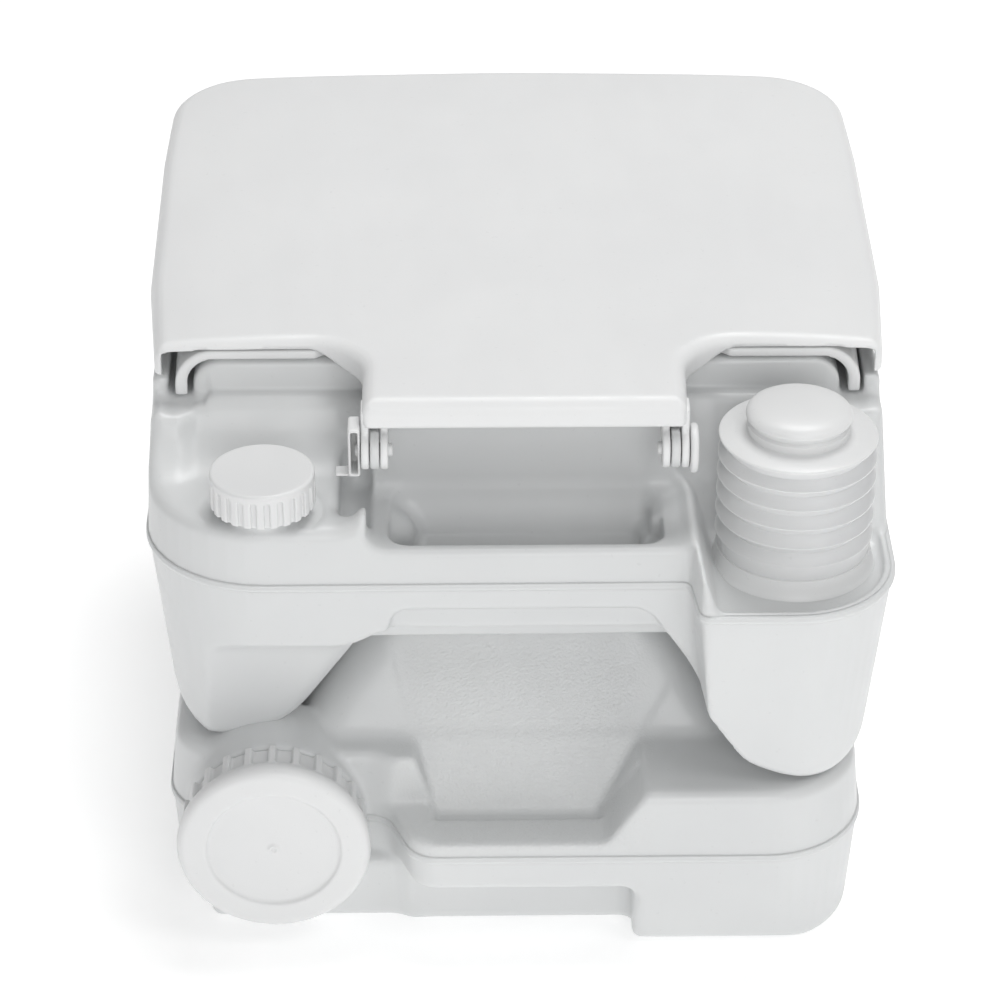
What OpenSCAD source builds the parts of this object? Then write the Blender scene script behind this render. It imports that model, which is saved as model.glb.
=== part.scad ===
// Portable camp toilet: a lower waste tank, a fresh water tank with the bowl latched on top of it,
// a sliding gate valve between them, a bellows flush pump, two screw caps, a seat and a lid.
// The origin is at the middle of the footprint on the ground. +X is to the right seen from behind,
// +Y points to the front where the user sits, +Z is up. Sizes are in millimetres.

/* [Tanks] */
// Half of the width of the fresh water tank
fresh_half_w = 176; // [174:1:178]
// Half of the width of the waste tank
waste_half_w = 168; // [167:1:170]
// Place of the front wall of both tanks
front_y = 190; // [186:1:194]
// Place of the rear wall of the fresh tank, left and centre
rear_y = -180; // [-182:1:-178]
// Place of the rear wall under the pump and of the waste tank's rear lip
lobe_y = -208; // [-210:1:-206]
// Wall thickness of both blow-moulded tanks
wall = 3; // [2.6:0.1:3.2]
// Height of the waste tank's shoulders
shoulder_z = 92; // [90:1:92]
// Height of the middle of the waste tank, which carries the valve
hump_z = 148; // [147:1:148]
// Height of the deck that the seat rests over
deck_z = 264; // [263:1:264]
// Height of the moulded seam around the fresh tank
fresh_seam_z = 193; // [190:1:196]
// Height of the moulded seam around the waste tank
waste_seam_z = 57; // [54:1:60]

/* [Bowl and gate] */
// Place of the bowl's centre, front to back
bowl_y = 22; // [18:1:24]
// Radius of the bowl at its rim
bowl_rim_r = 112; // [108:1:114]
// Radius of the outlet that the gate closes
outlet_r = 44; // [42:1:45]
// Thickness of the sliding gate
gate_t = 2.4; // [2:0.1:2.5]

/* [Pump] */
// Place of the pump's axis, side to side
pump_x = 127; // [125:1:128]
// Place of the pump's axis, front to back
pump_y = -153; // [-154:1:-151]
// Radius of the bellows and its top plate
pump_r = 37.7; // [36:0.1:38]
// Number of folds of the bellows
folds = 5; // [4:1:7]

/* [Caps] */
// Radius of the fill cap
fill_cap_r = 24.4; // [23:0.1:25]
// Radius of the waste cap
waste_cap_r = 46; // [45:0.5:47]
// Number of grip grooves around each cap
cap_grooves = 24; // [18:1:30]

/* [Seat and lid] */
// Place of the hinge pins, front to back
hinge_y = -153; // [-154:1:-152]
// Height of the hinge pins
hinge_z = 250; // [249:1:251]
// Radius of the hinge pins
hinge_pin_r = 3; // [2.5:0.1:3.2]
// Thickness of the seat ring
seat_t = 5.5; // [5:0.5:5.5]
// Height of the lid's top face
lid_top_z = 277; // [276:1:279]

/* [Hidden] */

shell_grey = [0.86, 0.87, 0.87];
lid_grey = [0.91, 0.92, 0.92];
seal_grey = [0.35, 0.36, 0.37];
far = 600;
play = 0.3;
pin_play = 0.05;
through = 1;

// Fresh tank levels and lines
edge_z = 250;
deck_inset = 18;
lobe_z = 93;
arch_z = 164;
arch_foot_w = 112;
arch_top_w = 66;
bulge_z = 155;
lobe_rear_y = -150;
platform_z = 222;
platform_x = -84;
bar_x_end = -73;
bar_y_front = -166;
bar_z = 220;
recess_front_y = -100;
rim_z = 211;
rim_y = -173;
block_x = 2;
block_half_w = 71.5;
block_rear_y = -126;
lug_x = 66.7;
lug_t = 4.2;
pump_side_x = 80;
channel_z = 206;
right_channel_z = 216;
grip_floor_z = 182;
grip_half_w = 60;

// Waste tank levels and lines
waste_rear_y = -208;
cap_wall_y = -175;
hold_z = 37;
hold_y = -183;
foot_x = 54;
lip_z = 66;
slope_foot = [-178, 61];
slope_top_y = -121;
hump_half_w = 62;
hump_foot_w = 107;
hump_front_y = 175;

// Waste neck and cap
neck_x = -117;
neck_z = 61;
neck_r = 36;
neck_bore_r = 32.5;
collar_r = 42;
collar_y = -181;
neck_end_y = -199;
waste_cap_face_y = -206;
waste_cap_back_y = -181.5;
cap_wall_t = 3;

// Fill neck and cap
fill_x = -118.5;
fill_y = -159;
fill_neck_r = 17.5;
fill_bore_r = 14;
fill_neck_z = 238;
fill_cap_z = 243;
fill_cap_low_z = 225.6;

// Gate valve levels
plate_z = 152;
blade_z = plate_z + play;
cover_z = blade_z + gate_t + play;
cover_top_z = cover_z + 3;
valve_half_w = 58;
valve_rear_y = -44;
valve_front_y = 170;
rail_w = 6;
blade_rear_y = -34;
blade_front_y = 186;
seal_top_z = cover_top_z + 4;

// Pump levels
pump_floor_z = 193;
bellows_low_z = 199;
bellows_top_z = 254.3;
plate_low_z = bellows_top_z + 0.2;
plate_top_z = 258.5;
knob_edge_z = 269;
knob_r = 24.4;

// Latches
latch_x = 166.5;
latch_y = 10;
latch_half_w = 25;
latch_pin_z = 75;
latch_top_z = 112;
latch_pin_r = 1.6;
latch_recess_x = 161.3;

// Seat and lid
seat_low_z = 265.2;
seat_top_z = seat_low_z + seat_t;
arm_t = 3.6;
seat_arm_x = lug_x - arm_t - 0.5;
lid_arm_x = lug_x + lug_t + 0.5;
ear_r = 9;
lid_t = 3;
skirt_z = 265.5;
side_skirt_z = 260;

// One rounded corner of an outline, from the point before, the corner [x, y, radius] and the next
function unit(v) = v / norm(v);
function flat(p) = [p[0], p[1]];
function corner(a, b, c, n) =
    b[2] == 0 ? [flat(b)] :
    let (u = unit(flat(a) - flat(b)), v = unit(flat(c) - flat(b)),
        half = acos(u * v) / 2,
        middle = flat(b) + unit(u + v) * b[2] / sin(half),
        from = flat(b) + u * b[2] / tan(half) - middle,
        to = flat(b) + v * b[2] / tan(half) - middle,
        start = atan2(from[1], from[0]),
        turn = atan2(from[0] * to[1] - from[1] * to[0], from * to))
    [for (i = [0:n]) middle + b[2] * [cos(start + turn * i / n), sin(start + turn * i / n)]];
function rounded(p, n = 8) =
    [for (i = [0:len(p) - 1])
        each corner(p[(i + len(p) - 1) % len(p)], p[i], p[(i + 1) % len(p)], n)];
function mirrored(p) = concat(p, [for (i = [len(p) - 1:-1:0]) [-p[i][0], p[i][1], p[i][2]]]);

// A flat plate with rounded corners between two heights
module plate(p, low, high, n = 8) {
    translate([0, 0, low])
        linear_extrude(high - low)
            polygon(rounded(p, n));
}

// A box between two corners
module block(low, high) {
    translate(low)
        cube(high - low);
}

// A prism along X whose outline is given as [y, z, radius]
module along_x(p, x0, x1) {
    translate([x0, 0, 0])
        rotate([90, 0, 90])
            linear_extrude(x1 - x0)
                polygon(rounded(p));
}

// A prism along Y whose outline is given as [x, z, radius]
module along_y(p, y0, y1) {
    translate([0, y1, 0])
        rotate([90, 0, 0])
            linear_extrude(y1 - y0)
                polygon(rounded(p));
}

// A round bar along X, and one along Y
module bar_x(x0, x1, y, z, r) {
    translate([x0, y, z])
        rotate([0, 90, 0])
            cylinder(h = x1 - x0, r = r, $fn = 48);
}
module bar_y(x, y0, y1, z, r, fn = 96) {
    translate([x, y1, z])
        rotate([90, 0, 0])
            cylinder(h = y1 - y0, r = r, $fn = fn);
}

// A round rod between two points
module rod(a, b, r) {
    d = b - a;
    translate(a)
        rotate([0, acos(d[2] / norm(d)), atan2(d[1], d[0])])
            cylinder(h = norm(d), r = r, $fn = 32);
}

// Both sides of the object
module both_sides() {
    children();
    mirror([1, 0, 0])
        children();
}

// ---- Waste tank ----

function waste_outline(i) = [
    [-waste_half_w + i, front_y - i, 50], [waste_half_w - i, front_y - i, 50],
    [waste_half_w - 4 - i, waste_rear_y + i, 44], [-46 + i, waste_rear_y + i, 12],
    [-60 + i, cap_wall_y + i, 8], [-waste_half_w + i, cap_wall_y + i, 30]];

// The solid form of the waste tank, shrunk by i on every side
module waste_form(i) {
    difference() {
        union() {
            plate(waste_outline(i), i, shoulder_z - i);
            intersection() {
                along_x([[slope_foot[0] + i, slope_foot[1], 0], [slope_top_y + i, hump_z - i, 12],
                    [hump_front_y - i, hump_z - i, 12], [front_y - 6 - i, shoulder_z - 8, 0],
                    [front_y - 6 - i, slope_foot[1], 0]], -far, far);
                along_y([[-hump_foot_w + i, slope_foot[1], 0], [hump_foot_w - i, slope_foot[1], 0],
                    [hump_foot_w - i, shoulder_z, 0], [hump_half_w - i, hump_z - i, 10],
                    [i - hump_half_w, hump_z - i, 10], [i - hump_foot_w, shoulder_z, 0]], -far, far);
                plate(waste_outline(i), 0, far);
            }
            bar_y(neck_x, collar_y + i, -152, neck_z, collar_r - i);
        }
        // trough between the two rear shoulders
        along_x([[-far, lip_z - i, 0], [-190 + i, lip_z - i, 3],
            [slope_foot[0] + i, slope_foot[1] - i, 3], [-157 + i, shoulder_z, 0], [-157, far, 0],
            [-far, far, 0]], -53 - i, 56 + i);
        // hand hold under the rear lip
        block([-far, -far, -far], [foot_x + i, hold_y + i, hold_z + i]);
        // bevel of the rear right foot
        along_x([[-far, -far, 0], [-196 + i, -through - far, 0], [-196 + i, 0, 0],
            [waste_rear_y + i, 27 + i, 0], [-far, 27 + i, 0]], -far, far);
        both_sides()
            block([latch_recess_x - i, latch_y - latch_half_w - 1 - i, latch_pin_z - 9 - i],
                [far, latch_y + latch_half_w + 1 + i, far]);
    }
}

module waste_tank() {
    color(shell_grey)
        difference() {
            union() {
                difference() {
                    waste_form(0);
                    waste_form(wall);
                }
                bar_y(neck_x, neck_end_y, cap_wall_y, neck_z, neck_r);
                for (y = [-186, -192])
                    bar_y(neck_x, y - 1, y + 1, neck_z, neck_r + 1);
                waste_seam();
                // pillars that the latch pins end in
                both_sides()
                    for (side = [-1, 1])
                        block([155, latch_y + side * (latch_half_w + 5) - 4, latch_pin_z - 9],
                            [waste_half_w - 1.5, latch_y + side * (latch_half_w + 5) + 4, shoulder_z - 1]);
            }
            bar_y(neck_x, neck_end_y - through, -140, neck_z, neck_bore_r);
            translate([0, bowl_y, hump_z - wall - through])
                cylinder(h = wall + 2 * through, r = outlet_r + 1, $fn = 96);
            valve_screw_holes(hump_z - wall - through, hump_z + through);
            both_sides()
                translate([latch_x, latch_y - latch_half_w - 8, latch_pin_z])
                    rotate([-90, 0, 0])
                        cylinder(h = 2 * latch_half_w + 16, r = latch_pin_r + pin_play, $fn = 32);
        }
}

// The moulded seam, a low rib around the tank
module waste_seam() {
    difference() {
        plate(waste_outline(-0.8), waste_seam_z - 1, waste_seam_z + 1);
        plate(waste_outline(1), waste_seam_z - 1 - through, waste_seam_z + 1 + through);
        both_sides()
            block([latch_recess_x, latch_y - latch_half_w - 1, latch_pin_z - 9],
                [far, latch_y + latch_half_w + 1, far]);
    }
}

module waste_cap() {
    color(lid_grey)
        difference() {
            union() {
                bar_y(neck_x, waste_cap_face_y, -196, neck_z, waste_cap_r);
                bar_y(neck_x, -196, waste_cap_back_y, neck_z, waste_cap_r - 1);
            }
            bar_y(neck_x, waste_cap_face_y + cap_wall_t, waste_cap_back_y + through, neck_z, neck_r + 1.5);
            bar_y(neck_x, waste_cap_face_y - through, waste_cap_face_y + 1.5, neck_z, waste_cap_r - 14.5);
            for (k = [0:cap_grooves - 1])
                translate([neck_x, 0, neck_z])
                    rotate([0, k * 360 / cap_grooves, 0])
                        block([-4, -195, waste_cap_r - 3], [4, -184, waste_cap_r + 4]);
        }
}

module waste_cap_gasket() {
    color(seal_grey)
        difference() {
            bar_y(neck_x, -202.7, neck_end_y - 0.2, neck_z, neck_r + 1);
            bar_y(neck_x, -202.7 - through, neck_end_y + through, neck_z, neck_bore_r);
        }
}

// ---- Gate valve ----

function valve_outline(i) = [
    [-valve_half_w + i, valve_rear_y + i, 10], [valve_half_w - i, valve_rear_y + i, 10],
    [valve_half_w - i, valve_front_y - i, 4], [i - valve_half_w, valve_front_y - i, 4]];

module valve_screw_places() {
    both_sides()
        for (y = [-34, 62, 160])
            translate([valve_half_w - rail_w / 2, y, 0])
                children();
}

module valve_screw_holes(low, high) {
    valve_screw_places()
        translate([0, 0, low])
            cylinder(h = high - low, r = 1.6, $fn = 24);
}

module valve_base() {
    color(shell_grey)
        difference() {
            union() {
                plate(valve_outline(0), hump_z, plate_z);
                difference() {
                    plate(valve_outline(0), plate_z, cover_z);
                    block([rail_w - valve_half_w, blade_rear_y - 1, hump_z],
                        [valve_half_w - rail_w, far, far]);
                }
            }
            translate([0, bowl_y, hump_z - through])
                cylinder(h = far, r = outlet_r, $fn = 96);
            translate([0, bowl_y, plate_z - 2])
                cylinder(h = far, r = outlet_r + 5, $fn = 96);
            valve_screw_holes(hump_z - through, cover_z + through);
        }
}

module gate_seal() {
    color(seal_grey)
        translate([0, bowl_y, plate_z - 2])
            difference() {
                cylinder(h = 2, r = outlet_r + 4.9, $fn = 96);
                translate([0, 0, -through])
                    cylinder(h = 2 + 2 * through, r = outlet_r + 1, $fn = 96);
            }
}

module gate_blade() {
    half_w = valve_half_w - rail_w - 0.5;
    color(lid_grey)
        difference() {
            plate([[-half_w, blade_rear_y, 20], [half_w, blade_rear_y, 20],
                [half_w, blade_front_y, 2], [-half_w, blade_front_y, 2]], blade_z, blade_z + gate_t);
            handle_screw_places()
                cylinder(h = far, r = 1.6, $fn = 24);
        }
}

module handle_screw_places() {
    for (x = [-30, 30])
        translate([x, 180, 0])
            children();
}

module gate_handle() {
    low = blade_z + gate_t;
    color(lid_grey)
        difference() {
            union() {
                plate([[-44, 174, 3], [44, 174, 3], [44, 192, 3], [-44, 192, 3]], low, low + 3);
                along_x([[188, 150, 3], [206, 150, 6], [206, 163, 6], [188, 163, 3]], -44, 44);
            }
            handle_screw_places()
                cylinder(h = far, r = 1.6, $fn = 24);
            along_x([[193, 149, 0], [201, 149, 0], [201, 158, 4], [193, 158, 4]], -36, 36);
            block([-far, 187, blade_z - play], [far, blade_front_y + play, low]);
        }
}

module handle_screws() {
    color(seal_grey)
        handle_screw_places() {
            translate([0, 0, blade_z])
                cylinder(h = gate_t + 3, r = 1.5, $fn = 24);
            translate([0, 0, blade_z + gate_t + 3])
                cylinder(h = 1.8, r = 3.2, $fn = 24);
        }
}

module valve_cover() {
    color(shell_grey)
        difference() {
            plate(valve_outline(0), cover_z, cover_top_z);
            translate([0, bowl_y, cover_z - through])
                cylinder(h = far, r = outlet_r, $fn = 96);
            valve_screw_holes(cover_z - through, cover_top_z + through);
        }
}

module valve_screws() {
    color(seal_grey)
        valve_screw_places() {
            translate([0, 0, hump_z - wall])
                cylinder(h = cover_top_z - hump_z + wall, r = 1.5, $fn = 24);
            translate([0, 0, cover_top_z])
                cylinder(h = 2.2, r = 3.2, $fn = 24);
        }
}

// ---- Fresh tank ----

function fresh_outline(i) = [
    [-fresh_half_w + i, front_y - i, 60], [fresh_half_w - i, front_y - i, 60],
    [fresh_half_w - 1 - i, lobe_y + i, 45], [84 + i, lobe_y + i, 10],
    [78 + i, rear_y + i, 5], [-fresh_half_w + i, rear_y + i, 58]];

// The solid form of the fresh tank, shrunk by i on every side
module fresh_form(i) {
    difference() {
        union() {
            plate(fresh_outline(i), lobe_z + i, edge_z - i);
            plate(fresh_outline(deck_inset + i), edge_z - deck_inset, deck_z - i);
        }
        // arch over the middle of the waste tank
        along_y([[-arch_foot_w - 3 - i, -far, 0], [arch_foot_w + 3 + i, -far, 0],
            [arch_foot_w + 3 + i, lobe_z - 5, 0], [arch_top_w + i, arch_z + i, 12],
            [-arch_top_w - i, arch_z + i, 12], [-arch_foot_w - 3 - i, lobe_z - 5, 0]], -far, far);
        // room for the waste cap under the rear left corner
        along_x([[-far, -far, 0], [lobe_rear_y + i, -far, 0], [lobe_rear_y + i, bulge_z + i, 8],
            [-far, bulge_z + i, 0]], -far, -arch_top_w);
        fresh_top_cuts(i);
        translate([0, bowl_y, 0])
            bowl_hole(i);
        both_sides()
            latch_pocket(i);
    }
}

// Everything that is lower than the deck behind the seat
module fresh_top_cuts(i) {
    front = recess_front_y + i;
    left = block_x - block_half_w + i;
    right = block_x + block_half_w - i;
    block([-far, -far, platform_z - i], [platform_x + i, front, far]);
    block([-far, -far, edge_z - i], [far, front, far]);
    block([platform_x - 1, bar_y_front - i, channel_z - i], [left, front, far]);
    block([platform_x - 1, -far, bar_z - i], [bar_x_end + 1, bar_y_front, far]);
    block([bar_x_end - i, -far, rim_z - i], [pump_side_x, block_rear_y + i, far]);
    block([right, rim_y - i, right_channel_z - i], [pump_side_x + 1, front, far]);
    block([pump_side_x - i, -far, pump_floor_z - i], [far, front, far]);
    // finger pocket behind the rear rim
    block([block_x - grip_half_w - i, rim_y - i, grip_floor_z - i],
        [block_x + grip_half_w + i, block_rear_y + i, far]);
}

// Two lugs on the wall of the block, which the hinge pins go through
module hinge_lugs() {
    for (side = [-1, 1]) {
        x0 = block_x + (side > 0 ? lug_x : -lug_x - lug_t);
        bar_x(x0, x0 + lug_t, hinge_y, hinge_z, ear_r);
        block([x0, hinge_y, hinge_z - ear_r], [x0 + lug_t, block_rear_y + 2, hinge_z + ear_r]);
    }
}

module bowl_hole(i) {
    translate([0, 0, arch_z - through])
        cylinder(h = deck_z - arch_z - 1, r1 = outlet_r + 4 + i, r2 = bowl_rim_r + 4 + i, $fn = 96);
    translate([0, 0, deck_z - 4 - i])
        cylinder(h = far, r = bowl_rim_r + 8 + i, $fn = 96);
}

module latch_pocket(i) {
    block([latch_recess_x - i, latch_y - latch_half_w - 1 - i, lobe_z - far],
        [far, latch_y + latch_half_w + 1 + i, latch_top_z + 4 + i]);
    block([latch_recess_x - 6 - i, latch_y - latch_half_w - i, 102 - i],
        [far, latch_y + latch_half_w + i, 110.5 + i]);
}

module fresh_tank() {
    color(shell_grey)
        difference() {
            union() {
                difference() {
                    fresh_form(0);
                    fresh_form(wall);
                }
                hinge_lugs();
                fresh_seam();
                translate([fill_x, fill_y, platform_z - 1]) {
                    cylinder(h = fill_neck_z - platform_z + 1, r = fill_neck_r, $fn = 96);
                    for (z = [7, 12])
                        translate([0, 0, z])
                            cylinder(h = 1.6, r = fill_neck_r + 0.7, $fn = 96);
                }
            }
            translate([fill_x, fill_y, platform_z - wall - through])
                cylinder(h = far, r = fill_bore_r, $fn = 96);
            translate([pump_x, pump_y, pump_floor_z - wall - through])
                cylinder(h = wall + 2 * through, r = 12, $fn = 64);
            bar_x(block_x - lug_x - 10, block_x + lug_x + 10, hinge_y, hinge_z, hinge_pin_r + pin_play);
            rod(tube_top + to_bowl * 8, nozzle_front, 6.6);
        }
}

// The moulded seam, a low rib around the tank
module fresh_seam() {
    difference() {
        plate(fresh_outline(-0.8), fresh_seam_z - 2.5, fresh_seam_z - 0.5);
        plate(fresh_outline(1), fresh_seam_z - far, fresh_seam_z + far);
    }
}

module bowl_liner() {
    top = deck_z - 3;
    color(lid_grey)
        difference() {
            translate([0, bowl_y, 0])
                rotate_extrude($fn = 96)
                    polygon([[outlet_r, seal_top_z], [outlet_r + 2.5, seal_top_z], [outlet_r + 2.5, 170],
                        [bowl_rim_r + 2, top], [bowl_rim_r + 7, top], [bowl_rim_r + 7, deck_z],
                        [bowl_rim_r, deck_z], [bowl_rim_r - 1, top - 2], [outlet_r, 171]]);
            rod(nozzle_back, nozzle_front, 6.5);
        }
}

module bowl_seal() {
    color(seal_grey)
        translate([0, bowl_y, cover_top_z])
            difference() {
                cylinder(h = seal_top_z - cover_top_z, r = outlet_r + 6, $fn = 96);
                translate([0, 0, -through])
                    cylinder(h = far, r = outlet_r - 1, $fn = 96);
            }
}

module fill_cap() {
    color(lid_grey)
        translate([fill_x, fill_y, 0])
            difference() {
                union() {
                    translate([0, 0, fill_cap_low_z])
                        cylinder(h = fill_cap_z - fill_cap_low_z - 1, r = fill_cap_r, $fn = 96);
                    translate([0, 0, fill_cap_z - 1])
                        cylinder(h = 1, r1 = fill_cap_r, r2 = fill_cap_r - 1, $fn = 96);
                }
                translate([0, 0, fill_cap_low_z - through])
                    cylinder(h = fill_neck_z + 2.2 - fill_cap_low_z + through, r = fill_neck_r + 1.3, $fn = 96);
                for (k = [0:cap_grooves - 1])
                    rotate([0, 0, (k + 0.5) * 360 / cap_grooves])
                        block([fill_cap_r - 1.6, -1, fill_cap_low_z - through],
                            [fill_cap_r + 3, 1, fill_cap_z - 3.5]);
            }
}

module fill_cap_gasket() {
    color(seal_grey)
        translate([fill_x, fill_y, fill_neck_z + 0.2])
            difference() {
                cylinder(h = 1.8, r = fill_neck_r + 0.8, $fn = 96);
                translate([0, 0, -through])
                    cylinder(h = far, r = fill_bore_r - 1, $fn = 96);
            }
}

// ---- Pump ----

module pump_base() {
    color(shell_grey)
        translate([pump_x, pump_y, 0])
            difference() {
                union() {
                    translate([0, 0, pump_floor_z])
                        cylinder(h = bellows_low_z - pump_floor_z, r = pump_r + 0.4, $fn = 96);
                    translate([0, 0, 178])
                        cylinder(h = 16, r = 11.5, $fn = 48);
                }
                translate([0, 0, pump_floor_z + 3])
                    cylinder(h = far, r = pump_r - 6, $fn = 96);
                translate([0, 0, 170])
                    cylinder(h = far, r = 5.1, $fn = 48);
                translate([-pump_x, -pump_y, 0])
                    rod(tube_start, tube_corner, 5.1);
            }
}

fold_h = (bellows_top_z - bellows_low_z) / (folds + 0.5);
bellows_path = [for (k = [0:2 * folds + 1])
    [k % 2 == 0 ? pump_r - 5.5 : pump_r - 0.5, bellows_low_z + k * fold_h / 2]];

module pump_bellows() {
    n = len(bellows_path);
    inner = [for (k = [n - 1:-1:0]) [bellows_path[k][0] - 1.5, bellows_path[k][1]]];
    color(lid_grey)
        translate([pump_x, pump_y, 0])
            rotate_extrude($fn = 96)
                polygon(concat(bellows_path, inner));
}

module pump_plate() {
    color(lid_grey)
        translate([pump_x, pump_y, plate_low_z])
            difference() {
                union() {
                    cylinder(h = plate_top_z - plate_low_z, r = pump_r, $fn = 96);
                    cylinder(h = knob_edge_z - plate_low_z, r = knob_r - 1.5, $fn = 96);
                }
                translate([0, 0, -through])
                    cylinder(h = knob_edge_z - plate_low_z - 2 + through, r = knob_r - 4, $fn = 96);
            }
}

module pump_knob() {
    color(lid_grey)
        translate([pump_x, pump_y, knob_edge_z])
            rotate_extrude($fn = 96)
                polygon(concat([[0, 0], [knob_r, 0]],
                    [for (a = [0:10:90]) [knob_r - 6 + 6 * cos(a), 1.5 + 4.5 * sin(a)]], [[0, 6]]));
}

module pickup_tube() {
    color(lid_grey)
        translate([pump_x, pump_y, 103])
            difference() {
                cylinder(h = 92, r = 5, $fn = 48);
                translate([0, 0, -through])
                    cylinder(h = far, r = 3.5, $fn = 48);
            }
}

module foot_valve() {
    color(seal_grey)
        translate([pump_x, pump_y, 98])
            difference() {
                cylinder(h = 14, r = 8, $fn = 48);
                translate([0, 0, 5])
                    cylinder(h = far, r = 5.05, $fn = 48);
                for (a = [0, 90])
                    rotate([0, 0, a])
                        block([-far, -1.5, -through], [far, 1.5, 3]);
            }
}

tube_start = [pump_x - 8, pump_y, 184];
tube_corner = [86, -86, 184];
tube_top = [86, -86, 248];
to_bowl = unit([0 - tube_top[0], bowl_y - tube_top[1], 0]);
nozzle_back = tube_top + to_bowl * 14;
nozzle_front = tube_top + to_bowl * 44;

module flush_tube() {
    start = tube_start + unit(tube_corner - tube_start) * 5;
    end = tube_top + to_bowl * 22;
    past = [0, 0, 7];
    color(lid_grey)
        difference() {
            union() {
                rod(start, tube_corner, 4.6);
                rod(tube_corner - past, tube_top + past, 6);
                rod(tube_top, end, 4.6);
            }
            rod(start - unit(tube_corner - tube_start) * 2, tube_corner, 3);
            rod(tube_corner - past / 2, tube_top + past / 2, 4);
            rod(tube_top, end + to_bowl * 2, 3);
        }
}

module flush_nozzle() {
    color(lid_grey)
        difference() {
            rod(tube_top + to_bowl * 18, nozzle_front, 6.3);
            rod(tube_top + to_bowl * 16, tube_top + to_bowl * 22.2, 4.65);
            rod(tube_top + to_bowl * 20, nozzle_front + to_bowl * 4, 3.6);
        }
}

// ---- Side latches ----

module latch() {
    inner = latch_x - 2;
    difference() {
        union() {
            block([inner, latch_y - latch_half_w, latch_pin_z], [inner + 4, latch_y + latch_half_w, latch_top_z]);
            block([inner - 4.5, latch_y - latch_half_w + 2, 104], [inner + 1, latch_y + latch_half_w - 2, 108]);
            bar_y(latch_x, latch_y - latch_half_w, latch_y + latch_half_w, latch_pin_z, 4, 48);
        }
        bar_y(latch_x, latch_y - far / 2, latch_y + far / 2, latch_pin_z, latch_pin_r + pin_play, 32);
    }
}

module latch_pin() {
    bar_y(latch_x, latch_y - latch_half_w - 7, latch_y + latch_half_w + 7, latch_pin_z, latch_pin_r, 32);
}

module latch_right() {
    color(shell_grey)
        latch();
}
module latch_left() {
    color(shell_grey)
        mirror([1, 0, 0])
            latch();
}
module latch_pin_right() {
    color(seal_grey)
        latch_pin();
}
module latch_pin_left() {
    color(seal_grey)
        mirror([1, 0, 0])
            latch_pin();
}

// ---- Seat and lid ----

seat_outline = [[-158, -96, 26], [-50, -96, 0], [50, -96, 0], [158, -96, 26], [166, 40, 200],
    [158, 196, 58], [-158, 196, 58], [-166, 40, 200]];

// A rounded oval with half axes a and b around the bowl's centre
function oval(a, b, n = 64) = [for (k = [0:n - 1]) let (t = 360 * k / n)
    [a * sign(cos(t)) * pow(abs(cos(t)), 0.86), bowl_y + b * sign(sin(t)) * pow(abs(sin(t)), 0.86)]];

// One hinge ear, a plate from inner to inner + arm_t on one side, with an arm up to top that runs forward
module ear(side, inner, top, front, rear, hole) {
    x0 = block_x + (side > 0 ? inner : -inner - arm_t);
    difference() {
        union() {
            bar_x(x0, x0 + arm_t, hinge_y, hinge_z, ear_r);
            block([x0, rear, hinge_z], [x0 + arm_t, hinge_y + ear_r, top]);
            block([x0, hinge_y, top - 5], [x0 + arm_t, front, top]);
        }
        bar_x(x0 - through, x0 + arm_t + through, hinge_y, hinge_z, hole);
    }
}

module seat() {
    color(lid_grey) {
        difference() {
            intersection() {
                plate(seat_outline, seat_low_z, seat_top_z);
                plate(lid_outline(lid_t + 0.8), seat_low_z - 1, seat_top_z + 1);
            }
            translate([0, 0, seat_low_z - through])
                linear_extrude(seat_t + 2 * through)
                    polygon(oval(98, 112));
            translate([0, 0, seat_low_z - through])
                linear_extrude(seat_t - 3 + through)
                    difference() {
                        polygon([for (p = rounded(seat_outline)) [p[0] * 0.978, 2 + (p[1] - 2) * 0.978]]);
                        polygon(oval(101.5, 115.5));
                    }
        }
        // the flap between the ears
        plate([[block_x - 69, -148, 3], [block_x + 69, -148, 3], [block_x + 69, -92, 0],
            [block_x - 69, -92, 0]], seat_top_z - 3, seat_top_z);
        for (side = [-1, 1])
            ear(side, seat_arm_x, seat_top_z, -93, hinge_y, hinge_pin_r + pin_play);
    }
}

module seat_bumpers() {
    color(seal_grey)
        both_sides()
            for (y = [-60, 150])
                translate([136, y, deck_z + play])
                    cylinder(h = seat_top_z - 3 - deck_z - play, r = 6, $fn = 32);
}

function lid_outline(i, w = 0) = [
    [-170 + i, -99 + i, 6], [block_x - 74 + i, -93 + i, 24], [block_x - 74 + i, -157 + i, 4],
    [block_x + 74 - i, -157 + i, 4], [block_x + 74 - i, -93 + i, 24], [170 - i, -99 + i, 6],
    [177 - i, -30, 200], [179 - i, 110, 250], [168 - i, 200 - i, 52], [0, 210 - i, 400],
    [i - 168, 200 - i, 52], [i - 179, 110, 250], [i - 177, -30, 200]];

module lid() {
    color(lid_grey) {
        difference() {
            plate(lid_outline(0), skirt_z, lid_top_z);
            plate(lid_outline(lid_t), skirt_z - through, lid_top_z - lid_t);
        }
        // the skirt is deeper along the two sides and the front
        difference() {
            plate(lid_outline(0), side_skirt_z, skirt_z + 1);
            plate(lid_outline(lid_t), side_skirt_z - through, skirt_z + 2);
            block([-160, -far, 0], [160, 0, far]);
        }
        for (side = [-1, 1])
            ear(side, lid_arm_x, lid_top_z - 1, hinge_y + ear_r, hinge_y - ear_r + 5.5, hinge_pin_r + pin_play);
    }
}

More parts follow.
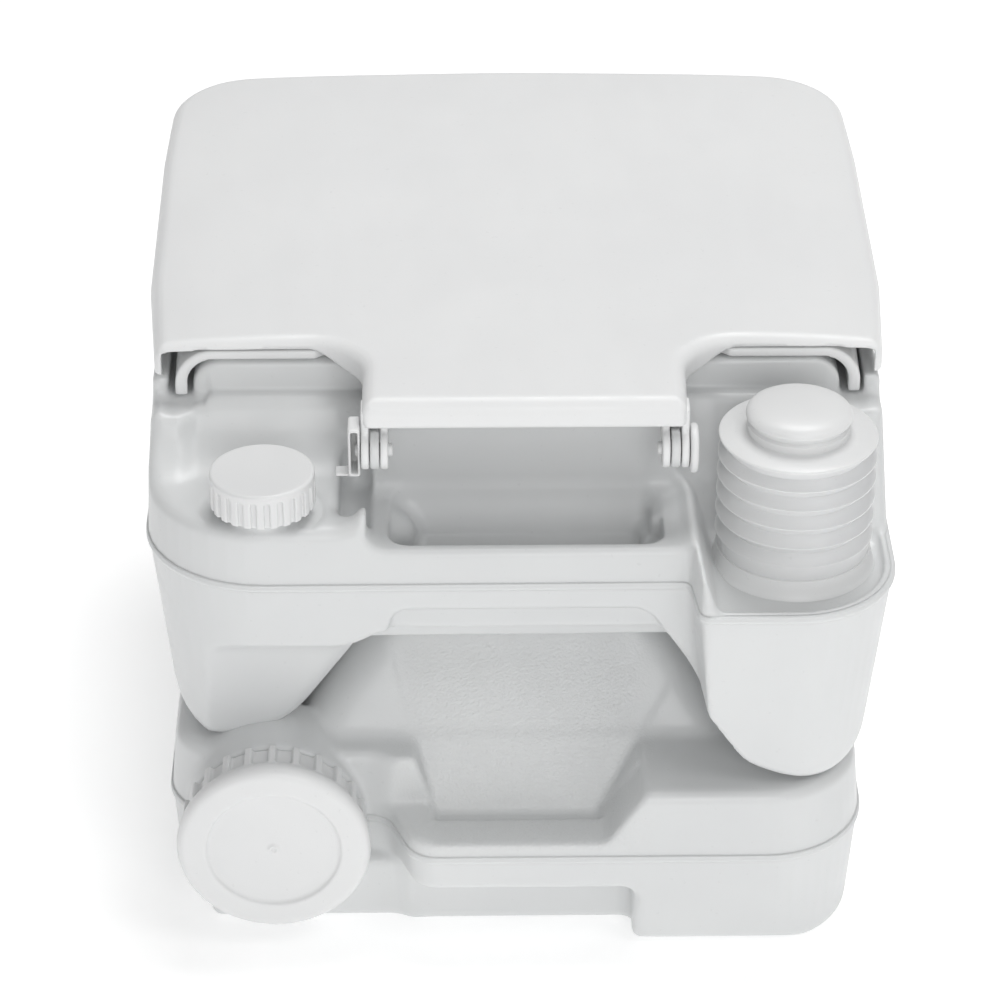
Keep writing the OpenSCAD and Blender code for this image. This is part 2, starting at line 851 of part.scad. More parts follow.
module hinge_pin() {
    bar_x(seat_arm_x - 2, lid_arm_x + arm_t + 0.8, hinge_y, hinge_z, hinge_pin_r);
    bar_x(lid_arm_x + arm_t + 0.3, lid_arm_x + arm_t + 2.4, hinge_y, hinge_z, 6);
}
module hinge_pin_right() {
    color(lid_grey)
        translate([block_x, 0, 0])
            hinge_pin();
}
module hinge_pin_left() {
    outer = lid_arm_x + arm_t + 2.4;
    color(lid_grey)
        translate([block_x, 0, 0])
            mirror([1, 0, 0]) {
                hinge_pin();
                block([outer - 0.1, hinge_y - 5, hinge_z - 11], [outer + 1.3, hinge_y + 5, hinge_z + 5]);
                block([outer - 0.1, hinge_y - 5, hinge_z - 12.4], [outer + 7, hinge_y + 5, hinge_z - 11]);
            }
}

waste_tank();
waste_cap();
waste_cap_gasket();
valve_base();
gate_seal();
gate_blade();
gate_handle();
handle_screws();
valve_cover();
valve_screws();
fresh_tank();
bowl_liner();
bowl_seal();
fill_cap();
fill_cap_gasket();
pump_base();
pump_bellows();
pump_plate();
pump_knob();
pickup_tube();
foot_valve();
flush_tube();
flush_nozzle();
latch_left();
latch_right();
latch_pin_left();
latch_pin_right();
seat();
seat_bumpers();
lid();
hinge_pin_left();
hinge_pin_right();
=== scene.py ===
"""Looks of a portable camp toilet, built around its CAD frame.

The blow-moulded and injection-moulded shells are written as distance fields in millimetres, with a
radius on every edge, and turned into meshes. Turned parts are lathe meshes. All finishes are node
materials in object coordinates.
"""

import math

import bpy
import numpy as np
import openvdb as vdb
from mathutils import Matrix, Vector


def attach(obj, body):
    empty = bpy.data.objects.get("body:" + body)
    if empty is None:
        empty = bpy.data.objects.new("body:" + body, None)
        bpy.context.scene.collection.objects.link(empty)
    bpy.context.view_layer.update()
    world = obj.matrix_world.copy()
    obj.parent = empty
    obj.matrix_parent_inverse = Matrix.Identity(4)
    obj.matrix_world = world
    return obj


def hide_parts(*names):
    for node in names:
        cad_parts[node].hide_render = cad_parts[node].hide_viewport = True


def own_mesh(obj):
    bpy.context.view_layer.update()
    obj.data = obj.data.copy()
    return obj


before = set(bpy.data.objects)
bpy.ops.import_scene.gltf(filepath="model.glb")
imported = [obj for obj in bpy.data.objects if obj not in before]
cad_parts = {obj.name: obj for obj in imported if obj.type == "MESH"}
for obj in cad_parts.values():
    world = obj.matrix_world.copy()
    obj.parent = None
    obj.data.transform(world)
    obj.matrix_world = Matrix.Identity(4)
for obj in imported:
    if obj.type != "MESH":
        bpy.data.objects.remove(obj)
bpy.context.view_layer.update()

# ---- Distance fields ----


def smax(a, b, r=0.0):
    """Intersection of two fields, with a radius r on the edge between them."""
    if r <= 0:
        return np.maximum(a, b)
    edge = np.sqrt(np.maximum(r + a, 0) ** 2 + np.maximum(r + b, 0) ** 2)
    return np.minimum(-r, np.maximum(a, b)) + edge


def smin(a, b, r=0.0):
    """Union of two fields, with a fillet r between them."""
    return -smax(-a, -b, r)


def cut(a, b, r=0.0):
    """Field a without b, with a radius r on the edge."""
    return smax(a, -b, r)


def step01(v, v0, v1):
    """Smooth step from 0 at v0 to 1 at v1."""
    t = np.clip((v - v0) / (v1 - v0), 0, 1)
    return t * t * (3 - 2 * t)


def rounded(points, n=10):
    """Outline points [x, y, radius] with their corners turned into arcs."""
    out = []
    for k, (x, y, r) in enumerate(points):
        b = np.array([x, y], float)
        a = np.array(points[k - 1][:2], float) - b
        c = np.array(points[(k + 1) % len(points)][:2], float) - b
        a, c = a / np.linalg.norm(a), c / np.linalg.norm(c)
        if r <= 0:
            out.append(b)
            continue
        half = math.acos(float(np.clip(a @ c, -1, 1))) / 2
        middle = b + (a + c) / np.linalg.norm(a + c) * r / math.sin(half)
        start = b + a * r / math.tan(half) - middle
        end = b + c * r / math.tan(half) - middle
        angle = math.atan2(start[1], start[0])
        turn = math.atan2(start[0] * end[1] - start[1] * end[0], start @ end)
        for i in range(n + 1):
            t = angle + turn * i / n
            out.append(middle + r * np.array([math.cos(t), math.sin(t)]))
    return np.array(out)


def outline(u, v, points):
    """Signed distance to a closed rounded outline, negative inside it."""
    p = rounded(points)
    d = np.full(np.broadcast(u, v).shape, 1e9, np.float32)
    inside = np.zeros(d.shape, bool)
    for k in range(len(p)):
        a, b = p[k], p[k - 1]
        e = b - a
        wx, wy = u - a[0], v - a[1]
        t = np.clip((wx * e[0] + wy * e[1]) / (e @ e), 0, 1)
        d = np.minimum(d, (wx - e[0] * t) ** 2 + (wy - e[1] * t) ** 2)
        above = v >= a[1]
        below = v < b[1]
        left = e[0] * wy > e[1] * wx
        inside ^= (above & below & left) | (~above & ~below & ~left)
    return np.where(inside, -np.sqrt(d), np.sqrt(d)).astype(np.float32)


def box(x, y, z, low, high, r=0.0):
    """Field of a box with a radius on its edges."""
    f = smax(np.maximum(low[0] - x, x - high[0]), np.maximum(low[1] - y, y - high[1]), r)
    return smax(f, np.maximum(low[2] - z, z - high[2]), r)


def disc(u, v, w, centre, radius, w0, w1, r=0.0):
    """Field of a cylinder around the w axis."""
    return smax(np.hypot(u - centre[0], v - centre[1]) - radius, np.maximum(w0 - w, w - w1), r)


def line(u, v, a, b):
    """Distance from the line through a and b, positive on its left."""
    d = np.array([b[0] - a[0], b[1] - a[1]], float)
    d /= np.linalg.norm(d)
    return (v - a[1]) * d[0] - (u - a[0]) * d[1]


# ---- Meshes ----


def to_object(name, points, faces, body):
    """A smooth-shaded mesh in metres that rides on a body."""
    mesh = bpy.data.meshes.new(name)
    mesh.from_pydata(points, [], faces)
    mesh.polygons.foreach_set("use_smooth", [True] * len(mesh.polygons))
    mesh.update()
    obj = bpy.data.objects.new(name, mesh)
    bpy.context.scene.collection.objects.link(obj)
    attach(obj, body)
    return obj


def solid(name, field, low, high, step, body):
    """The mesh of a distance field between two corners, in millimetres."""
    low = np.array(low, float) - 2 * step
    count = np.ceil((np.array(high, float) + 2 * step - low) / step).astype(int) + 1
    x, y, z = (
        (low[k] + step * np.arange(count[k])).astype(np.float32) for k in range(3)
    )
    d = field(x[:, None, None], y[None, :, None], z[None, None, :])
    d = np.broadcast_to(d, count).astype(np.float32)
    d = np.clip(d, -3 * step, 3 * step)
    grid = vdb.FloatGrid(3 * step)
    grid.copyFromArray(d)
    points, _, quads = grid.convertToPolygons(isovalue=0.0, adaptivity=0.0)
    points = (points * step + low) * 0.001
    # turned round, or not, so that the normals point outwards
    a, b, c, e = (points[quads[:, k]] for k in (3, 2, 1, 0))
    volume = np.sum(a * np.cross(b, c)) + np.sum(a * np.cross(c, e))
    faces = quads[:, ::-1] if volume > 0 else quads
    return to_object(name, points.tolist(), faces.tolist(), body)


def lathe(name, profile, centre, body, n=160):
    """A turned piece around a vertical axis. The profile is closed, [radius, z] in millimetres."""
    points, rings = [], []
    for r, z in profile:
        if r < 1e-6:
            rings.append([len(points)])
            points.append((centre[0] * 0.001, centre[1] * 0.001, z * 0.001))
            continue
        rings.append(list(range(len(points), len(points) + n)))
        for k in range(n):
            t = 2 * math.pi * k / n
            points.append(
                (
                    (centre[0] + r * math.cos(t)) * 0.001,
                    (centre[1] + r * math.sin(t)) * 0.001,
                    z * 0.001,
                )
            )
    faces = []
    for k, ring in enumerate(rings):
        nxt = rings[(k + 1) % len(rings)]
        if len(ring) == 1 and len(nxt) == 1:
            continue
        for i in range(n):
            j = (i + 1) % n
            if len(ring) == 1:
                faces.append((ring[0], nxt[j], nxt[i]))
            elif len(nxt) == 1:
                faces.append((ring[i], ring[j], nxt[0]))
            else:
                faces.append((ring[i], ring[j], nxt[j], nxt[i]))
    obj = to_object(name, points, faces, body)
    obj.data.set_sharp_from_angle(angle=math.radians(38))
    return obj


def arc(middle, r, a0, a1, n=6):
    """Points of an arc in a profile, angles in degrees."""
    return [
        [
            middle[0] + r * math.cos(math.radians(a0 + (a1 - a0) * k / n)),
            middle[1] + r * math.sin(math.radians(a0 + (a1 - a0) * k / n)),
        ]
        for k in range(n + 1)
    ]


def seam(name, points, z, high, proud, body):
    """The flash line of a mould, a low rib swept around an outline."""
    p = rounded(points, 16)
    fine = []
    for k in range(len(p)):
        a, b = p[k], p[(k + 1) % len(p)]
        n = max(1, int(np.linalg.norm(b - a) / 4))
        fine += [a + (b - a) * i / n for i in range(n)]
    p = np.array(fine)
    tangent = np.roll(p, -1, 0) - np.roll(p, 1, 0)
    tangent /= np.linalg.norm(tangent, axis=1)[:, None]
    normal = np.stack([tangent[:, 1], -tangent[:, 0]], 1)
    if outline(np.float32(p[0, 0] + normal[0, 0]), np.float32(p[0, 1] + normal[0, 1]), points) < 0:
        normal = -normal
    section = [
        [-1.5, -high], [proud * 0.55, -high], [proud, -high * 0.55], [proud, high * 0.1],
        [proud * 0.72, high * 0.32], [proud * 0.95, high * 0.5], [proud * 0.5, high], [-1.5, high],
    ]
    verts, faces = [], []
    n, m = len(p), len(section)
    for k in range(n):
        for s in section:
            q = p[k] + normal[k] * s[0]
            verts.append((q[0] * 0.001, q[1] * 0.001, (z + s[1]) * 0.001))
    for k in range(n):
        j = (k + 1) % n
        for i in range(m):
            above = (i + 1) % m
            faces.append((k * m + i, j * m + i, j * m + above, k * m + above))
    return to_object(name, verts, faces, body)


# ---- Materials ----


class Nodes:
    """Short hand for building a node material."""

    def __init__(self, name):
        self.material = bpy.data.materials.new(name)
        self.material.use_nodes = True
        self.tree = self.material.node_tree
        self.tree.nodes.clear()
        self.out = self.tree.nodes.new("ShaderNodeOutputMaterial")
        self.shader = self.tree.nodes.new("ShaderNodeBsdfPrincipled")
        self.link(self.shader.outputs[0], self.out.inputs["Surface"])
        self.place = self.tree.nodes.new("ShaderNodeTexCoord").outputs["Object"]

    def link(self, a, b):
        self.tree.links.new(a, b)

    def set(self, **values):
        for name, value in values.items():
            self.shader.inputs[name.replace("_", " ")].default_value = value

    def noise(self, scale, detail=2.0, rough=0.5, stretch=None):
        node = self.tree.nodes.new("ShaderNodeTexNoise")
        node.inputs["Scale"].default_value = scale
        node.inputs["Detail"].default_value = detail
        node.inputs["Roughness"].default_value = rough
        place = self.place
        if stretch is not None:
            mapping = self.tree.nodes.new("ShaderNodeMapping")
            mapping.inputs["Scale"].default_value = stretch
            self.link(place, mapping.inputs["Vector"])
            place = mapping.outputs[0]
        self.link(place, node.inputs["Vector"])
        return node.outputs["Fac"]

    def cells(self, scale):
        node = self.tree.nodes.new("ShaderNodeTexVoronoi")
        node.feature = "SMOOTH_F1"
        node.inputs["Scale"].default_value = scale
        node.inputs["Smoothness"].default_value = 0.6
        self.link(self.place, node.inputs["Vector"])
        return node.outputs["Distance"]

    def spread(self, value, low, high, start=0.3, end=0.7):
        node = self.tree.nodes.new("ShaderNodeMapRange")
        node.interpolation_type = "SMOOTHSTEP"
        node.inputs["From Min"].default_value = start
        node.inputs["From Max"].default_value = end
        node.inputs["To Min"].default_value = low
        node.inputs["To Max"].default_value = high
        self.link(value, node.inputs["Value"])
        return node.outputs["Result"]

    def maths(self, kind, a, b):
        node = self.tree.nodes.new("ShaderNodeMath")
        node.operation = kind
        for socket, value in zip(node.inputs, (a, b)):
            if isinstance(value, float):
                socket.default_value = value
            else:
                self.link(value, socket)
        return node.outputs[0]

    def axis(self, name):
        node = self.tree.nodes.new("ShaderNodeSeparateXYZ")
        self.link(self.place, node.inputs[0])
        return node.outputs[name]

    def blend(self, fac, a, b):
        node = self.tree.nodes.new("ShaderNodeMix")
        node.data_type = "RGBA"
        node.inputs["A"].default_value = (*a, 1)
        node.inputs["B"].default_value = (*b, 1)
        self.link(fac, node.inputs["Factor"])
        return node.outputs["Result"]

    def blend_on(self, fac, socket, b):
        node = self.tree.nodes.new("ShaderNodeMix")
        node.data_type = "RGBA"
        self.link(socket, node.inputs["A"])
        node.inputs["B"].default_value = (*b, 1)
        self.link(fac, node.inputs["Factor"])
        return node.outputs["Result"]

    def bump(self, height, strength, distance, normal=None):
        node = self.tree.nodes.new("ShaderNodeBump")
        if isinstance(strength, float):
            node.inputs["Strength"].default_value = strength
        else:
            self.link(strength, node.inputs["Strength"])
        node.inputs["Distance"].default_value = distance
        self.link(height, node.inputs["Height"])
        if normal is not None:
            self.link(normal, node.inputs["Normal"])
        self.link(node.outputs[0], self.shader.inputs["Normal"])
        return node.outputs[0]


def moulded(name, light, dark, rough, soft=0.12, peel=0.05, wave=0.0):
    """Moulded polyethylene or polypropylene, with its skin, flow marks and faint handling marks."""
    m = Nodes(name)
    m.set(IOR=1.5, Subsurface_Weight=soft, Subsurface_Scale=0.004)
    m.shader.inputs["Subsurface Radius"].default_value = (1.0, 0.95, 0.9)
    cloud = m.spread(m.noise(9, 3, 0.55), 0.0, 1.0)
    colour = m.blend(cloud, light, dark)
    speck = m.spread(m.noise(420, 1, 0.4), 0.0, 0.22, 0.72, 0.8)
    colour = m.blend_on(speck, colour, tuple(0.8 * c for c in dark))
    m.link(colour, m.shader.inputs["Base Color"])
    scuff = m.noise(60, 5, 0.65, (1.0, 0.25, 1.0))
    m.link(m.spread(scuff, rough - 0.05, rough + 0.08), m.shader.inputs["Roughness"])
    normal = None
    if wave > 0:
        normal = m.bump(m.noise(22, 2, 0.5), wave, 0.0008)
    m.bump(m.noise(1300, 2, 0.6), peel, 0.00012, normal)
    return m


def tank_plastic():
    """Blow-moulded tank wall, with a leathery grain on the slope behind the valve."""
    m = moulded("tank_plastic", (0.68, 0.69, 0.69), (0.655, 0.665, 0.668), 0.34, 0.15, 0.06, 0.22)
    first = m.shader.inputs["Normal"].links[0].from_socket
    x, z, y = m.axis("X"), m.axis("Z"), m.axis("Y")
    side = m.spread(m.maths("ABSOLUTE", x, 0.0), 1.0, 0.0, 0.04, 0.075)
    low = m.spread(z, 0.0, 1.0, 0.058, 0.066)
    high = m.spread(z, 1.0, 0.0, 0.115, 0.15)
    behind = m.spread(y, 1.0, 0.0, -0.13, -0.118)
    mask = m.maths("MULTIPLY", m.maths("MULTIPLY", side, low), m.maths("MULTIPLY", high, behind))
    grain = m.maths("ADD", m.noise(650, 3, 0.6), m.maths("MULTIPLY", m.cells(800), 0.45))
    m.bump(grain, m.maths("MULTIPLY", mask, 0.4), 0.0009, first)
    return m


def rubber():
    m = Nodes("seal_rubber")
    m.set(IOR=1.5)
    m.link(m.blend(m.spread(m.noise(40, 3), 0.0, 1.0), (0.07, 0.073, 0.076), (0.1, 0.103, 0.106)),
           m.shader.inputs["Base Color"])
    m.link(m.spread(m.noise(120, 4), 0.55, 0.75), m.shader.inputs["Roughness"])
    m.bump(m.noise(1600, 2), 0.2, 0.0001)
    return m


def steel():
    m = Nodes("screw_steel")
    m.set(Metallic=1.0)
    m.link(m.blend(m.spread(m.noise(300, 3), 0.0, 1.0), (0.52, 0.52, 0.51), (0.66, 0.66, 0.65)),
           m.shader.inputs["Base Color"])
    m.link(m.spread(m.noise(700, 3, 0.6, (1.0, 6.0, 1.0)), 0.22, 0.4), m.shader.inputs["Roughness"])
    m.bump(m.noise(900, 2, 0.5, (1.0, 8.0, 1.0)), 0.1, 0.00005)
    return m


tank = tank_plastic().material

# name: lighter colour, darker colour, roughness, subsurface weight, strength of the skin's bump
PLASTICS = {
    "lid": ((0.79, 0.795, 0.795), (0.77, 0.775, 0.777), 0.4, 0.12, 0.12),
    "cap": ((0.74, 0.745, 0.745), (0.715, 0.72, 0.722), 0.36, 0.12, 0.05),
    "valve": ((0.66, 0.67, 0.67), (0.63, 0.64, 0.645), 0.4, 0.1, 0.08),
    "handle": ((0.7, 0.71, 0.71), (0.67, 0.68, 0.685), 0.38, 0.1, 0.08),
    "bowl": ((0.78, 0.785, 0.785), (0.76, 0.765, 0.767), 0.25, 0.12, 0.02),
    "pump": ((0.75, 0.755, 0.755), (0.725, 0.73, 0.73), 0.34, 0.15, 0.04),
    "bellows": ((0.73, 0.735, 0.735), (0.7, 0.705, 0.71), 0.36, 0.25, 0.05),
    "tube": ((0.72, 0.74, 0.74), (0.66, 0.68, 0.68), 0.3, 0.3, 0.03),
    "latch": ((0.69, 0.7, 0.7), (0.665, 0.675, 0.68), 0.4, 0.1, 0.08),
    "pin": ((0.76, 0.765, 0.765), (0.73, 0.735, 0.735), 0.38, 0.1, 0.05),
}
skins = {name: moulded(f"{name}_plastic", *finish).material for name, finish in PLASTICS.items()}
seal_skin = rubber().material
steel_skin = steel().material


def skin(obj, material):
    """Gives the object one material."""
    obj.data.materials.clear()
    obj.data.materials.append(material)
    return obj


# ---- Fresh water tank ----

FRESH = [
    (-176, 190, 60), (176, 190, 60), (172.8, -209.5, 48),
    (81, -209.5, 5), (77.8, -179.8, 4), (-175, -180.6, 57),
]
BLOCK_X = 2  # middle of the block between the hinges
HINGE_Y, HINGE_Z = -153, 250
FILL = (-118.5, -159)
PUMP = (127, -153)
DECK_Z = 265
PLATFORM_Z = 222
WELL_Z = 190
SEAM_Z = 193


def arch_side(x, z, half, z0, slope):
    """Distance inside of an arch with slanted sides, half wide at z0."""
    return (abs(x) - half - slope * (z0 - z)) / math.hypot(1, slope)


def fresh_tank(x, y, z):
    side = outline(x, y, FRESH)
    body = side + np.where(z < SEAM_Z, 0.105 * (SEAM_Z - z), 0.05 * (z - SEAM_Z))
    # arch over the waste tank, larger in its last few millimetres at the rear
    arch = smax(arch_side(x, z, 67, 163.6, 0.64), z - 164, 3)
    mouth = smax(arch_side(x, z, 67.7, 163.6, 0.64), z - 178.5, 6)
    mouth = smax(smax(mouth, y + 172, 2), -62 - x, 6)
    # room for the waste cap
    leg = line(y, z, (-169, 155), (-158, 94))
    room = smax(smax(z - 157, leg, 10), x + 50, 8)
    under = smin(arch, room, 14)
    f = cut(body, under, 1.6)
    f = cut(f, smin(mouth, room, 14), 1.3)
    leg_end = smax(-arch_side(x, z, 67, 163.6, 0.64) - 6, 94 - z, 30)
    leg_end = smax(leg_end, abs(x) - 182 + 0.105 * (SEAM_Z - z), 30)
    f = smax(f, np.where(z < 150, leg_end, -60), 5)
    f = smax(f, z - 256.3, 3)
    # groove for the seat's skirt, and the deck in it
    groove = smax(body + 7.5, 246 - z, 3)
    f = cut(f, groove, 2)
    deck = smax(body + 19, z - DECK_Z, 13)
    deck = smax(deck, 150 - z)
    f = smin(f, deck, 2.5)
    # behind the deck, under the hinge flap and on both sides
    f = cut(f, smax(250 - z, y + 97.5), 1)
    back = 6 * step01(abs(x), 150, 161)
    lean = (y + 118 + back - (z - 222) * 21 / 43) * 0.9
    left = smax(smax(lean, PLATFORM_Z - z, 16), x + 69.5, 17)
    ledge = smax(246 - z, y + 98, 3)
    f = cut(f, smin(left, smax(ledge, x + 148), 3), 6)
    well_left = line(x, z, (90.5, 190), (78.5, 222))
    well = smax(smax(lean * 0.97, WELL_Z - z, 5), well_left, 6)
    well = smax(well, np.minimum(body + 4.2, 194.5 - z), 3)
    f = cut(f, well, 3)
    f = cut(f, disc(x, y, z, PUMP, 37.8, 191, 400, 2), 1)
    f = cut(f, smax(smax(lean, 216 - z, 5), np.maximum(73.5 - x, x - 100), 12), 4)
    f = cut(f, smax(ledge, 148 - x), 2)
    # channel beside the hinge, bar beside it, and the rim behind the pocket
    channel = box(x, y, z, (-84, -166, 206), (-69, -112, 400), 9)
    f = cut(f, channel, 4)
    rear = box(x, y, z, (-71, -400, 211), (79, -127, 400), 9)
    f = cut(f, rear, 3.5)
    # finger pocket
    pocket = box(x, y, z, (-61, -172.6, 182), (66, -100, 400), 10)
    pocket = smax(smax(pocket, y + 125, 10), line(y, z, (-126, 207), (-141, 182)), 14)
    f = cut(f, pocket, 1.5)
    # lump in its left corner and stepped ledges in its right one
    f = smin(f, np.sqrt((x + 58) ** 2 + (y + 140) ** 2 + (z - 197) ** 2) - 9, 8)
    f = smin(f, box(x, y, z, (57, -164, 176), (80, -124, 197), 4), 5)
    f = smin(f, box(x, y, z, (61, -148, 176), (80, -124, 209), 3), 4)
    # latch pockets
    for s in (-1, 1):
        f = cut(f, box(s * x, y, z, (161.3, -16.5, 0), (400, 36.5, 116), 2), 1.5)
        f = cut(f, box(s * x, y, z, (155, -15.5, 101.5), (400, 35.5, 111), 1.5), 1)
    # bowl opening
    radius = np.hypot(x, y - 22)
    cone = (radius - 48.5 - (z - 163) * 0.806) * 0.778
    f = cut(f, smax(cone, 158 - z), 1)
    f = cut(f, disc(x, y, z, (0, 22), 120, 246, 400), 1)
    # shallow ring around the fill neck, the neck and its bore
    f = cut(f, disc(x, y, z, FILL, 28.5, PLATFORM_Z - 1.1, 400, 1), 1)
    f = smin(f, disc(x, y, z, FILL, 17.5, 200, 238, 0.8), 2)
    for low in (229, 234):
        f = smin(f, disc(x, y, z, FILL, 18.3, low, low + 1.8, 0.8), 1)
    f = cut(f, disc(x, y, z, FILL, 14, 190, 400), 1)
    return f


coarse = 1.5
fine = 1.1
tiny = 0.7

fresh = solid(
    "fresh_tank_shell", fresh_tank, (-178, -212, 92), (178, 192, 267), coarse, "tanks"
)
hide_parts("fresh_tank")
skin(fresh, tank)

fresh_rib = seam("fresh_tank_seam", FRESH, SEAM_Z - 0.8, 1.9, 1.0, "tanks")
skin(fresh_rib, tank)


def hinge_radius(y, z):
    """Distance from the axis that the seat and the lid turn on."""
    return np.hypot(y - HINGE_Y, z - HINGE_Z)


def hinge_lugs(x, y, z):
    f = None
    for s in (-1, 1):
        a, b = BLOCK_X + s * 66.7, BLOCK_X + s * 70.9
        x0, x1 = min(a, b), max(a, b)
        plate = smin(
            hinge_radius(y, z) - 9,
            smax(np.maximum(HINGE_Y - y, y + 124), np.abs(z - HINGE_Z) - 9),
            3,
        )
        lug = smax(plate, np.maximum(x0 - x, x - x1), 0.9)
        f = lug if f is None else np.minimum(f, lug)
    return cut(f, hinge_radius(y, z) - 3.1, 0.4)


lugs = solid(
    "hinge_lugs", hinge_lugs, (-70, -163, 240), (74, -123, 260), tiny, "tanks"
)
skin(lugs, tank)

# ---- Waste tank ----

WASTE = [
    (-168.6, 190, 50), (167.5, 190, 50), (163.6, -209.2, 48),
    (-50, -209.2, 16), (-64, -174.8, 14), (-168.6, -172.5, 30),
]
WASTE_SEAM_Z = 57
NECK = (-117, 61)


def waste_tank(x, y, z):
    side = outline(x, y, WASTE)
    body = side + np.where(z < WASTE_SEAM_Z, 0.07 * (WASTE_SEAM_Z - z), 0.09 * (z - WASTE_SEAM_Z))
    f = smax(body, z - 92, 5)
    slope = line(y, z, (-178, 61), (-121, 148))
    hump = smax(slope, arch_side(x, z, 107, 92, 0.8), 16)
    front = line(y, z, (175, 148), (186, 84))
    hump = smax(smax(hump, front, 8), z - 148, 9)
    hump = smax(hump, body + 6)
    hump = smax(hump, 50 - z)
    f = smin(f, hump, 4)
    # trough between the two rear shoulders
    right = line(x, z, (37, 62), (58, 92))
    left = line(x, z, (-50, 92), (-40, 62))
    walls = smax(-right, -left, 2)
    floor = 61.5 + 4.5 * step01(-y, 184.5, 188.5) - z
    trough = smax(smax(walls, -slope - 0.2, 2), floor, 1.5)
    f = cut(f, trough, 2.5)
    # low rim in front of the trough and of the left shoulder's end
    rim = smax(smax(66 - z, y + 175.5, 3), -right, 4)
    f = cut(f, smax(rim, -72 - x, 4), 3)
    # collar around the neck
    collar = disc(x, z, y, NECK, 42, -181, -140, 3)
    f = smin(f, collar, 3)
    # hand hold under the rear lip
    hold = smax(smax(z - 37, y + 183.5, 5), x - 54, 6)
    f = cut(f, hold, 6)
    f = smin(f, box(x, y, z, (-150, -180.4, -20), (-44, -150, 36.5), 5), 3)
    bevel = line(y, z, (-208.6, 22), (-200, 0))
    f = smax(f, -bevel, 5)
    f = smax(f, -z, 7)
    for s in (-1, 1):
        f = cut(f, box(s * x, y, z, (161.3, -16.5, 66), (400, 36.5, 400), 2), 1.5)
        for y0 in (-24, 36.5):
            f = smin(f, box(s * x, y, z, (150, y0, 66), (166.5, y0 + 7.5, 90), 1.5), 1)
    # inlet under the valve, neck with its thread, and bore
    f = cut(f, disc(x, y, z, (0, 22), 45, 60, 400, 3), 1)
    f = smin(f, disc(x, z, y, NECK, 36, -199, -170, 0.8), 1)
    for low in (-193, -187):
        f = smin(f, disc(x, z, y, NECK, 37, low, low + 2, 0.9), 1)
    f = cut(f, disc(x, z, y, NECK, 32.5, -400, -120, 6), 1)
    return f


waste = solid(
    "waste_tank_shell", waste_tank, (-170, -211, 0), (169, 192, 149), coarse, "tanks"
)
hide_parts("waste_tank")
skin(waste, tank)
waste_rib = seam("waste_tank_seam", WASTE, WASTE_SEAM_Z, 1.9, 1.0, "tanks")
skin(waste_rib, tank)


# ---- Caps ----


def waste_cap(x, y, z):
    r = np.hypot(x - NECK[0], z - NECK[1])
    face = smax(r - 46, np.maximum(-206.0 - y, y + 196), 4.5)
    band = smax(r - 44.6, np.maximum(-200.0 - y, y + 181.6), 1)
    around = np.arctan2(z - NECK[1], x - NECK[0])
    pitch = 2 * math.pi / 24
    local = (np.mod(around, pitch) - pitch / 2) * 44
    pit = smax(smax(np.abs(local) - 3.9, 41.6 - r, 1.0), np.maximum(-195.4 - y, y + 178), 2.0)
    f = smin(face, cut(band, pit, 0.8), 1)
    # dished middle with a raised rim around it and a gate mark in its centre
    dish = smax(r - 31.8, y + 204.3, 1.2)
    f = cut(f, dish, 1.1)
    f = smin(f, smax(np.abs(r - 1.9) - 0.5, np.maximum(-205.2 - y, y + 200), 0.4), 0.5)
    f = cut(f, smax(r - 37.5, -202.8 - y, 1), 0.6)
    return f


big_cap = solid(
    "waste_cap_shell", waste_cap, (-164, -207, 14), (-70, -181, 108), tiny, "waste_cap"
)
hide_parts("waste_cap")
skin(big_cap, skins["cap"])


def fill_cap(x, y, z):
    r = np.hypot(x - FILL[0], y - FILL[1])
    f = smax(r - 24.4 + 0.012 * (z - 225.6), np.maximum(225.6 - z, z - 243), 1.3)
    around = np.arctan2(y - FILL[1], x - FILL[0])
    pitch = 2 * math.pi / 24
    local = (np.mod(around, pitch) - pitch / 2) * 24
    slot = smax(smax(np.abs(local) - 1.35, z - 239.2, 1.35), 22.8 - r, 0.4)
    f = cut(f, slot, 0.3)
    f = cut(f, smax(r - 18.9, z - 240.2, 1), 0.4)
    return f


small_cap = solid("fill_cap_shell", fill_cap, (-144, -185, 225), (-93, -133, 244),
                  0.5, "fill_cap")
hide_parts("fill_cap")
skin(small_cap, skins["cap"])

# ---- Pump ----

base = lathe(
    "pump_collar",
    [[0, 186], [31.5, 186], [38.2, 188.4]] + arc((38.0, 189.3), 0.8, -50, 60)
    + [[37.2, 192.5], [35.9, 199.2], [34.4, 199.8], [31.4, 199.4], [31.4, 196], [0, 196]],
    PUMP, "tanks",
)
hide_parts("pump_base")
skin(base, skins["pump"])

low_z, top_z, folds = 199.0, 256.4, 5
fold = 10.05
outer = [[35.2, low_z], [35.6, low_z + 2]]
for k in range(folds):
    rim = low_z + fold * (k + 0.5) + 3.4
    if k > 0:
        outer += [[32.7, rim - 4.5]]
    outer += [[36.1, rim - 0.7], [36.6, rim - 0.4], [36.6, rim + 0.1]]
    outer += [[36.1, rim + 0.4], [32.7, rim + 4.4]]
    outer += [[32.3, rim + 5.0]] if k < folds - 1 else []
outer += [[34.0, top_z - 0.3]]
inner = [[r - 1.4, z] for r, z in outer[::-1]]
bellows = lathe("bellows_sleeve", outer + inner, PUMP, "tanks")
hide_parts("pump_bellows")
skin(bellows, skins["bellows"])
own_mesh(bellows)

